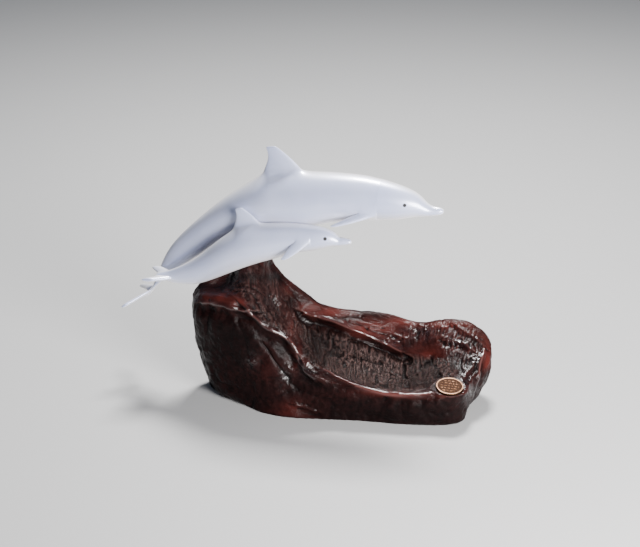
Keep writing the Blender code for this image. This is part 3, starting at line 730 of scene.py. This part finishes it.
def lacquer_colour(tree):
    """Burgundy lacquer, redder in worn places, with painted shade down the walls and painted highlights on
    crests and along the lips' tops.
    """
    figure = noise_texture(tree, object_place(tree, *FIGURE_LAY), **LACQUER_FIGURE)
    lacquer = colour_ramp(tree, figure, LACQUER_RAMP)
    # Painted highlight on crests
    lit = mix_colours(tree, attribute_share(tree, "crest", LACQUER_HIGHLIGHT_SHARE), lacquer, LACQUER_CREST_HIGHLIGHT)
    worn = mix_colours(tree, attribute_share(tree, "red", LACQUER_WORN_SHARE), lit, LACQUER_WORN)
    # Painted shade down the walls, mottled
    shade = colour_ramp(tree, noise_texture(tree, object_place(tree), **WALL_MOTTLE), WALL_SHADE_RAMP)
    shaded = mix_colours(tree, map_range(tree, attribute_value(tree, "wall_shade"), *WALL_SHADE_SHARE), worn, shade)
    # Painted highlight along the lips' tops, which also stands for rubbed lacquer
    return mix_colours(tree, attribute_share(tree, "edge", LIP_HIGHLIGHT_SHARE), shaded, LIP_HIGHLIGHT_COLOUR)


def bark_colour(tree, fibre):
    """Dry brown bark with a painted highlight on its crests, and pale flecks in places that partly paint in
    glints.
    """
    bark = colour_ramp(tree, fibre, BARK_RAMP)
    crest_lit = mix_colours(tree, attribute_share(tree, "crest", BARK_HIGHLIGHT_SHARE), bark, BARK_CREST_HIGHLIGHT)
    # Pale flecks, partly painted glints of highlight
    flecks = calculate(tree, "MULTIPLY", map_range(tree, fibre, *FLECK_AND_GLINT_SHARE), attribute_value(tree, "pale"))
    return mix_colours(tree, flecks, crest_lit, BARK_FLECK_AND_GLINT)


def lacquer_coat(tree, sleek):
    """Where the clear coat lies: as the stored gloss says, broken into specks where the wood isn't sleek."""
    specks = noise_texture(tree, object_place(tree), **LACQUER_SPECKS)
    speckle = calculate(tree, "MAXIMUM", map_range(tree, specks, *SPECK_GLOSS), sleek)
    return calculate(tree, "MULTIPLY", attribute_value(tree, "gloss"), speckle)


def lacquer_bumps(tree, sleek, bark_share, fibre):
    """The finest relief: ripples and grain in the lacquer, and fibres in the bark."""
    ripple = noise_texture(tree, object_place(tree), **LACQUER_RIPPLE)
    grain = noise_texture(tree, object_place(tree), **LACQUER_GRAIN)
    grain = calculate(tree, "MULTIPLY", grain, map_range(tree, sleek, *GRAIN_ON_SLEEK))
    rippled = bump(tree, grain, *GRAIN_BUMP, bump(tree, ripple, *RIPPLE_BUMP))
    depth = calculate(tree, "MULTIPLY", fibre, calculate(tree, "ADD", bark_share, FIBRE_ON_LACQUER))
    return bump(tree, depth, *FIBRE_BUMP, rippled)


def lacquer_material():
    """The burl's lacquer and bark, with painted shade in hollows and dark places, glossy where the stored
    gloss says so.
    """
    made, tree, shader = new_material("oxblood lacquered burl", LACQUER_SURFACE)
    bark_share = attribute_value(tree, "bark")
    sleek = attribute_value(tree, "sleek")
    fibre = noise_texture(tree, object_place(tree, *FIBRE_LAY), **FIBRE_TEXTURE)
    surface = mix_colours(tree, bark_share, lacquer_colour(tree), bark_colour(tree, fibre))
    # Painted shade in hollows and dark places
    hollow_shaded = mix_colours(tree, attribute_value(tree, "hollow"), surface, HOLLOW_SHADE_COLOUR)
    tree.links.new(hollow_shaded, shader.inputs["Base Color"])
    patchy = noise_texture(tree, object_place(tree), **LACQUER_PATCHES)
    tree.links.new(map_range(tree, patchy, *LACQUER_ROUGHNESS), shader.inputs["Roughness"])
    tree.links.new(lacquer_coat(tree, sleek), shader.inputs["Coat Weight"])
    relief = lacquer_bumps(tree, sleek, bark_share, fibre)
    tree.links.new(relief, shader.inputs["Normal"])
    tree.links.new(relief, shader.inputs["Coat Normal"])
    return made


def copper_material():
    """Aged copper with a brighter rim and dark corners in the relief."""
    made, tree, shader = new_material("aged copper", COPPER_SURFACE)
    relief = attribute_value(tree, "relief")
    mottle = noise_texture(tree, object_place(tree), **COPPER_MOTTLE)
    metal = colour_ramp(tree, mottle, COPPER_RAMP)
    aged = mix_colours(tree, map_range(tree, relief, *AGED_SHARE), metal, COPPER_AGED)
    bright = mix_colours(tree, attribute_value(tree, "rim"), aged, COPPER_RIM)
    tree.links.new(bright, shader.inputs["Base Color"])
    tree.links.new(map_range(tree, relief, *COPPER_ROUGHNESS), shader.inputs["Roughness"])
    tree.links.new(bump(tree, mottle, *COPPER_BUMP), shader.inputs["Normal"])
    return made


def quad_cage(name):
    """A figure's node with its triangles joined back into quads."""
    mesh = welded_mesh(name)
    bmesh.ops.join_triangles(
        mesh, faces=mesh.faces, cmp_seam=False, cmp_sharp=False, cmp_uvs=False, cmp_vcols=False,
        cmp_materials=False, angle_face_threshold=math.radians(QUAD_FACE_ANGLE),
        angle_shape_threshold=math.radians(QUAD_SHAPE_ANGLE),
    )
    return mesh


def rounded_corners(thing):
    """Where the rounding puts the corners of a figure's cage."""
    graph = bpy.context.evaluated_depsgraph_get()
    graph.update()
    return mesh_arrays(thing.evaluated_get(graph).data)[0][:len(thing.data.vertices)]


def fill_cage(thing):
    """Swell a figure's cage until its rounded surface passes through the node's own corners."""
    corners = mesh_arrays(thing.data)[0]
    cage = corners.copy()
    for step in range(CAGE_ROUNDS):
        cage = cage + corners - rounded_corners(thing)
        thing.data.vertices.foreach_set("co", cage.ravel())
        thing.data.update()


def eye_places(tree, pixel, tip):
    """The eye that the photograph shows, and its twin across the figure's middle plane."""
    near = seen_points(tree, (pixel,))[0]
    yaw = math.radians(FIGURE_YAW)
    sideways = Vector((-math.sin(yaw), math.cos(yaw), 0.0))
    far = near - sideways * (2 * (near - tip).dot(sideways))
    return near, tree.find_nearest(far)[0]


def make_figure(name, piece, pixel):
    """A dolphin on its node's own surface, rounded."""
    data = node_copy(quad_cage(name), piece)
    data.shade_smooth()
    made = new_object(piece, data)
    rounding = made.modifiers.new("rounding", "SUBSURF")
    rounding.levels = FIGURE_LEVELS
    rounding.render_levels = FIGURE_LEVELS
    fill_cage(made)
    add_smoothing(made, FIGURE_SMOOTHINGS)
    applied(made)
    point = mesh_arrays(made.data)[0]
    tip = Vector(point[point[:, 0].argmax()])
    tree = tree_of(made)
    made.data.materials.clear()
    made.data.materials.append(pearl_material(piece + " pearl", eye_places(tree, pixel, tip)))
    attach(made, "root")
    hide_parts(name)
    return made


def tree_of(thing):
    return BVHTree.FromPolygons(
        [vertex.co for vertex in thing.data.vertices], [polygon.vertices for polygon in thing.data.polygons],
    )


def wood_block():
    """The burl's node as an even, fine mesh."""
    made = new_object("burl", node_copy(welded_mesh("burl_base"), "burl"))
    even = made.modifiers.new("even cells", "REMESH")
    even.mode = "VOXEL"
    even.voxel_size = WOOD_CELL
    add_smoothing(made, WOOD_SMOOTHINGS)
    return applied(made)


def clearance(figure, points):
    """For points near a figure: the nearest place on it, its normal, and how far outside it they lie."""
    tree = tree_of(figure)
    corners = mesh_arrays(figure.data)[0]
    low, high = corners.min(axis=0) - TOUCH_FADE, corners.max(axis=0) + TOUCH_FADE
    place = points.copy()
    facing = np.zeros((len(points), 3))
    outside = np.full(len(points), TOUCH_FADE)
    for index in np.flatnonzero(((points > low) & (points < high)).all(axis=1)):
        found = tree.find_nearest(Vector(points[index]))
        place[index] = found[0]
        facing[index] = found[1]
        outside[index] = (Vector(points[index]) - found[0]).dot(found[1])
    return place, facing, outside


def plan_mask(tree, pixels, points, facing_up, soft):
    """How far inside an outline in the photograph the upward points lie, as a share of a soft edge."""
    outline = np.array([place[:2] for place in seen_points(tree, pixels)])
    edge = smooth_step(inside_outline(points[:, :2], outline) / soft + 0.5)
    return edge * growing_share(facing_up, *ROUGH_FACING)


def line_offset(points, pixels, places):
    """Distance of each point from a line on the surface, negative below the line in the photograph."""
    marks = photo_pixels(places)
    nearest = np.full(len(points), np.inf)
    side = np.ones(len(points))
    for index, run in enumerate(np.diff(marks, axis=0)):
        away = away_from_line(points, places[index:index + 2])
        reach = pixels - marks[index]
        below = run[0] * reach[:, 1] > run[1] * reach[:, 0]
        closer = away < nearest
        nearest[closer] = away[closer]
        side[closer] = np.where(below[closer], -1.0, 1.0)
    return nearest * side


def lip_relief(points, pixels, tree):
    """Height of the lips and of the hollows under them, and how near each point lies to a lip."""
    height = np.zeros(len(points))
    near = np.zeros(len(points))
    wave = LIP_STEADY + LIP_VARIED * noise(points, *LIP_WAVES)
    for course, rise, above, below, depth, reach in WOOD_LIPS:
        offset = line_offset(points, pixels, np.array(seen_points(tree, course)))
        crest = np.exp(-(offset / np.where(offset > 0, above, below)) ** 2)
        hollow = np.exp(-((offset + below + reach) / reach) ** 2)
        height += rise * wave * crest - depth * hollow
        near = np.maximum(near, crest * min(rise / LIP_FULL_RISE, 1.0) ** 2)
    return height, near


def crease_relief(points, tree):
    """Height of the creases, knobs and dents: creases and dents lie below 0."""
    height = np.zeros(len(points))
    for course, depth, width in WOOD_CREASES:
        away = away_from_line(points, np.array(seen_points(tree, course)))
        height -= depth * np.exp(-away / width)
    for pixel, rise, radius in WOOD_KNOBS:
        middle = np.array(seen_points(tree, (pixel,)))
        away = np.linalg.norm(points - middle, axis=1)
        height += rise * np.exp(-(away / radius) ** 2)
    return height


def bark_relief(points):
    """Height of rough bark: long torn fibres, flakes parted by gaps, and pits."""
    turn = np.array(Matrix.Rotation(math.radians(FIBRE_TURN), 3, "Z"))
    bent = points @ turn + bend(points, *BARK_BEND)
    flaky = smooth_step(noise(points, *FLAKY_PLACES) * FLAKY_CONTRAST + 0.5)
    fibre = folded_noise(bent, *BARK_FIBRES)
    inside, level = cells(bent, *BARK_FLAKES)
    flake = smooth_step(inside / FLAKE_EDGE) + FLAKE_STEP * level
    pits = growing_share(noise(bent, *BARK_PITS), *PIT_START)
    torn = FIBRE_HEIGHT * fibre * (1 - flaky) + FLAKE_HEIGHT * flake * flaky
    return torn - PIT_DEPTH * pits + BARK_SWELL_HEIGHT * noise(points, *BARK_SWELLS)


def lobe_relief(points, facing_up):
    """Height of the smooth lacquered wood: rounded lobes parted by creases, pocks, and long grain on top."""
    bent = points + bend(points, *LOBE_BEND)
    lobes = lobed_noise(bent, *LOBES)
    small = lobed_noise(bent, *SMALL_LOBES)
    grain = folded_noise(bent, *TOP_GRAIN)
    pocks = POCK_HEIGHT * noise(points, *POCKS) + SMALL_POCK_HEIGHT * noise(points, *SMALL_POCKS)
    on_top = growing_share(facing_up, *TOP_FACING)
    height = (LOBE_HEIGHT - LOBE_LOSS_ON_TOP * on_top) * lobes
    return height + (1 - on_top) * (SMALL_LOBE_HEIGHT * small + pocks) + GRAIN_HEIGHT * on_top * grain


def wrinkle_relief(points):
    """Height of the crumpled right end: folds that run down it, with sharp crests."""
    bent = points + bend(points, *WRINKLE_BEND)
    wide = folded_noise(bent, *WRINKLES)
    fine = folded_noise(bent, *SMALL_WRINKLES)
    swells = noise(points, *WRINKLE_SWELLS)
    return WRINKLE_HEIGHT * wide + SMALL_WRINKLE_HEIGHT * fine + WRINKLE_SWELL_HEIGHT * swells


def below_surroundings(data, points, rounds):
    """How far each point lies below the surface as smoothed over its neighbours."""
    ends = np.zeros(len(data.edges) * 2, dtype=np.int32)
    data.edges.foreach_get("vertices", ends)
    first, second = ends.reshape(-1, 2).T
    count = np.bincount(ends, minlength=len(points))
    soft = points.copy()
    for step in range(rounds):
        for axis in range(3):
            total = np.bincount(first, soft[second, axis], len(points))
            total += np.bincount(second, soft[first, axis], len(points))
            soft[:, axis] = (soft[:, axis] + total / count) / 2
    normal = mesh_arrays(data)[1]
    return ((soft - points) * normal).sum(axis=1)


def patch_share(patches, pixels, toward):
    """How near each point lies to patches in the photograph, on the side that the photograph shows."""
    share = np.zeros(len(pixels))
    for middle, half in patches:
        away = np.linalg.norm((pixels - middle) / half, axis=1)
        share = np.maximum(share, np.exp(-away ** 2))
    return share * growing_share(toward, *PHOTO_FACING)


def rough_places(tree, points, facing_up, near_lip):
    """How far bark and the crumpled right end cover each point, from 0 to 1."""
    dish = plan_mask(tree, DISH_PIXELS, points, facing_up, ROUGH_EDGE)
    slope = plan_mask(tree, SLOPE_PIXELS, points, facing_up, ROUGH_EDGE)
    crumple = plan_mask(tree, CRUMPLE_PIXELS, points, facing_up, CRUMPLE_EDGE)
    bark = np.clip(dish + SLOPE_BARK * slope, 0, 1) * (1 - BARK_OFF_LIPS * near_lip)
    return bark, crumple * (1 - bark)


def carved_share(points, seats):
    """How much of the relief each point takes: none at the dolphins, at the foot and round the medallion."""
    beside = np.linalg.norm(points - np.array(medal_frame()[0]), axis=1)
    share = growing_share(beside, PAD_RADIUS, PAD_FADE) * growing_share(points[:, 2], 0.0, FOOT_FADE)
    for outside in (seat[2] for seat in seats):
        share = share * growing_share(outside, 0.0, TOUCH_FADE)
    return share


def store_looks(data, points, facing_up, bark, near_lip, patches):
    """Store where the wood is bark, red or glossy, and where shade, highlights and pale flecks are painted,
    for its material.
    """
    fine = below_surroundings(data, points, FINE_ROUNDS)
    wide = below_surroundings(data, points, WIDE_ROUNDS)
    shine = patches["shine"]
    # Painted shade in dark places, less where the lacquer shines
    painted_shade = PAINTED_SHADE_STRENGTH * patches["dark"] * (1 - SHADE_OFF_SHINE * shine)
    hollow = growing_share(fine, *FINE_HOLLOW) + WIDE_HOLLOW_SHARE * growing_share(wide, *WIDE_HOLLOW)
    gloss = TOP_GLOSS * growing_share(facing_up, *GLOSS_FACING) * (1 + BARK_GLOSS * bark)
    gloss = gloss + near_lip + SHINE_GLOSS * shine
    store(data, "bark", bark)
    # Painted highlight along the lips' tops, also standing for rubbed lacquer
    store(data, "edge", growing_share(near_lip, *LIP_HIGHLIGHT_NEARNESS) * growing_share(facing_up, *LIP_HIGHLIGHT_FACING))
    store(data, "red", patches["red"])
    # Painted shade down the walls, growing as they face sideways and down
    store(data, "wall_shade", 1 - growing_share(facing_up, *WALL_SHADE_FACING))
    # Painted highlight on crests
    store(data, "crest", growing_share(-fine, *CREST_RISE))
    # Painted shade in hollows and dark places
    store(data, "hollow", HOLLOW_SHADE_STRENGTH * np.clip(np.maximum(hollow, painted_shade), 0, 1))
    store(data, "gloss", np.clip((gloss + LEAST_GLOSS) * (1 - GLOSS_OFF_DARK * painted_shade), 0, 1))
    store(data, "sleek", np.maximum(growing_share(near_lip, *SLEEK_NEARNESS), SHINE_SLEEKNESS * shine))
    # Where pale flecks, partly painted glints, lie
    store(data, "pale", patches["pale"])


def carve_wood(wood, figures):
    """Raise the wood's lips, cut its creases, roughen its bark, and store for the material where they are."""
    points, normal = mesh_arrays(wood.data)
    tree = tree_of(wood)
    pixels = photo_pixels(points)
    facing_up = normal[:, 2]
    toward = normal @ np.array(camera_axes()[0])
    patches = {name: patch_share(places, pixels, toward) for name, places in WOOD_PATCHES.items()}
    lips, near_lip = lip_relief(points, pixels, tree)
    bark, crumple = rough_places(tree, points, facing_up, near_lip)
    smooth = (1 - bark) * (1 - crumple) * (1 - LOBES_OFF_LIPS * near_lip)
    height = lips + crease_relief(points, tree)
    rough = bark * bark_relief(points) + crumple * wrinkle_relief(points)
    height += rough + smooth * lobe_relief(points, facing_up)
    sparkle = noise(points, *SPARKLES) + WIDE_SPARKLE_SHARE * noise(points, *WIDE_SPARKLES)
    height += patches["shine"] * SPARKLE_HEIGHT * sparkle
    seats = [clearance(figure, points) for figure in figures]
    points = points + normal * (height * carved_share(points, seats))[:, None]
    for place, facing, outside in seats:
        held = outside < TOUCH_GAP
        points[held] = place[held] + facing[held] * TOUCH_GAP
    wood.data.vertices.foreach_set("co", points.ravel())
    wood.data.update()
    store_looks(wood.data, points, facing_up, bark, near_lip, patches)


def make_wood(figures):
    """The burl, carved and lacquered."""
    made = wood_block()
    carve_wood(made, figures)
    fewer = made.modifiers.new("fewer", "DECIMATE")
    fewer.ratio = WOOD_TRIANGLES / (2 * len(made.data.polygons))
    applied(made)
    made.data.shade_smooth()
    made.data.materials.clear()
    made.data.materials.append(lacquer_material())
    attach(made, "root")
    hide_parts("burl_base")


def medal_frame():
    """Middle of the medallion's underside, and its axes: along, across and the way it faces."""
    points = mesh_arrays(frame["nodes"]["medallion"].data)[0]
    middle = points.mean(axis=0)
    facing = np.linalg.svd(points - middle, full_matrices=False)[2][2]
    facing = facing * np.sign(facing[2])
    along = np.array([1.0, 0.0, 0.0]) - facing * facing[0]
    along /= np.linalg.norm(along)
    axes = np.array([along, np.cross(facing, along), facing])
    local = (points - middle) @ axes.T
    low, high = local.min(axis=0), local.max(axis=0)
    centre = middle + np.array([(low[0] + high[0]) / 2, (low[1] + high[1]) / 2, low[2]]) @ axes
    return Vector(centre), Matrix(axes.tolist()).transposed()


def medal_size():
    """Radius and thickness of the medallion's node."""
    centre, axes = medal_frame()
    points = mesh_arrays(frame["nodes"]["medallion"].data)[0]
    local = (points - np.array(centre)) @ np.array(axes)
    return local[:, 0].max(), local[:, 2].max()


def stroke_bars(reach):
    """Rows of short strokes inside the rim: their start, end and row height."""
    draw = np.random.default_rng(STROKE_SEED)
    pitch = 2 * reach / (STROKE_ROWS + ROW_MARGIN)
    bars = []
    for row in range(STROKE_ROWS):
        level = (row - (STROKE_ROWS - 1) / 2) * pitch
        half = math.sqrt(reach ** 2 - level ** 2) * ROW_FILL
        start = -half
        while start < half - STROKE_SPREAD[0] / 2:
            end = min(start + draw.uniform(*STROKE_SPREAD), half)
            bars.append((start, end, level))
            start = end + STROKE_SPACE
    return bars


def rim_share(place, radius):
    """How far each place on the medallion's face has risen from the field to the rim."""
    out = np.hypot(*place.T)
    return smooth_step((out - radius + MEDAL_RIM) / (MEDAL_RIM * RIM_SLOPE))


def medal_height(place, radius, thick):
    """Height of the medallion's face: the field, the strokes standing on it and the rounded rim."""
    field = thick - MEDAL_RELIEF
    high = np.full(len(place), field)
    half = STROKE_HEIGHT / 2
    for start, end, level in stroke_bars(radius - MEDAL_RIM * STROKE_INSET):
        away = away_from_line(place, np.array([[start + half, level], [end - half, level]])) / half
        high = np.maximum(high, field + MEDAL_RELIEF * STROKE_RISE * smooth_step(STROKE_SHOULDER - away))
    high = np.maximum(high, field + MEDAL_RELIEF * rim_share(place, radius))
    edge = np.clip((np.hypot(*place.T) - radius + MEDAL_EDGE) / MEDAL_EDGE, 0, 1)
    return high - MEDAL_EDGE * (1 - np.sqrt(1 - edge ** 2))


def disc_points(radius, thick):
    """Corners of the medallion: the face's middle, rings out to the edge, the foot's ring and middle."""
    share = np.linspace(0, 1, MEDAL_RINGS + 1)[1:]
    angle = np.linspace(0, 2 * math.pi, MEDAL_SIDES, endpoint=False)
    spread = np.sin(share * math.pi / 2) ** RING_CROWDING * radius
    place = (spread[:, None, None] * np.stack([np.cos(angle), np.sin(angle)], axis=1)).reshape(-1, 2)
    face = np.column_stack([place, medal_height(place, radius, thick)])
    middle = [[0, 0, medal_height(np.zeros((1, 2)), radius, thick)[0]]]
    foot = np.column_stack([place[-MEDAL_SIDES:], np.zeros(MEDAL_SIDES)])
    return np.vstack([middle, face, foot, [[0, 0, 0]]])


def disc_faces():
    """Faces between those corners: a fan at the middle, bands to the edge and the foot, and a fan below."""
    faces = []
    foot = 1 + MEDAL_RINGS * MEDAL_SIDES
    below = foot + MEDAL_SIDES
    for side in range(MEDAL_SIDES):
        after = (side + 1) % MEDAL_SIDES
        faces.append((0, 1 + side, 1 + after))
        for inner in range(1, foot, MEDAL_SIDES):
            outer = inner + MEDAL_SIDES
            faces.append((inner + side, outer + side, outer + after, inner + after))
        faces.append((foot + side, below, foot + after))
    return faces


def make_medallion():
    """A struck copper disc with a raised rim and rows of strokes."""
    centre, axes = medal_frame()
    radius, thick = medal_size()
    points = disc_points(radius, thick)
    data = bpy.data.meshes.new("medallion disc")
    data.from_pydata(points.tolist(), [], disc_faces())
    data.transform(Matrix.Translation(centre) @ axes.to_4x4())
    relief = np.clip((points[:, 2] - thick + MEDAL_RELIEF) / MEDAL_RELIEF, 0, 1)
    store(data, "relief", relief)
    store(data, "rim", RIM_BRIGHTNESS * rim_share(points[:, :2], radius) * relief)
    data.shade_smooth()
    made = new_object("medallion_disc", data)
    data.materials.append(copper_material())
    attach(made, "root")
    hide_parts("medallion")


def make_floor():
    data = bpy.data.meshes.new("studio floor")
    half = FLOOR_REACH / 2
    corners = [(-half, -half, 0), (half, -half, 0), (half, half, 0), (-half, half, 0)]
    data.from_pydata(corners, [], [(0, 1, 2, 3)])
    data.materials.append(new_material("pale floor", FLOOR_SURFACE)[0])
    new_object("studio_floor", data)


def add_lights():
    for name, place, aim, size, power, colour in LIGHTS:
        data = bpy.data.lights.new(name, "AREA")
        data.shape = "RECTANGLE"
        data.size, data.size_y = size
        data.energy = power
        data.color = colour
        light = new_object(name, data)
        light.location = place
        light.rotation_euler = (Vector(aim) - Vector(place)).to_track_quat("-Z", "Y").to_euler()
    world = bpy.data.worlds.new("studio")
    world.use_nodes = True
    background = world.node_tree.nodes["Background"]
    background.inputs["Color"].default_value = SKY_COLOUR
    background.inputs["Strength"].default_value = SKY_STRENGTH
    bpy.context.scene.world = world


clear_scene()
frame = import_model()
add_camera()
adult = make_figure("adult_dolphin", "adult", ADULT_EYE_PIXEL)
calf = make_figure("calf_dolphin", "calf", CALF_EYE_PIXEL)
make_wood((adult, calf))
make_medallion()
make_floor()
add_lights()
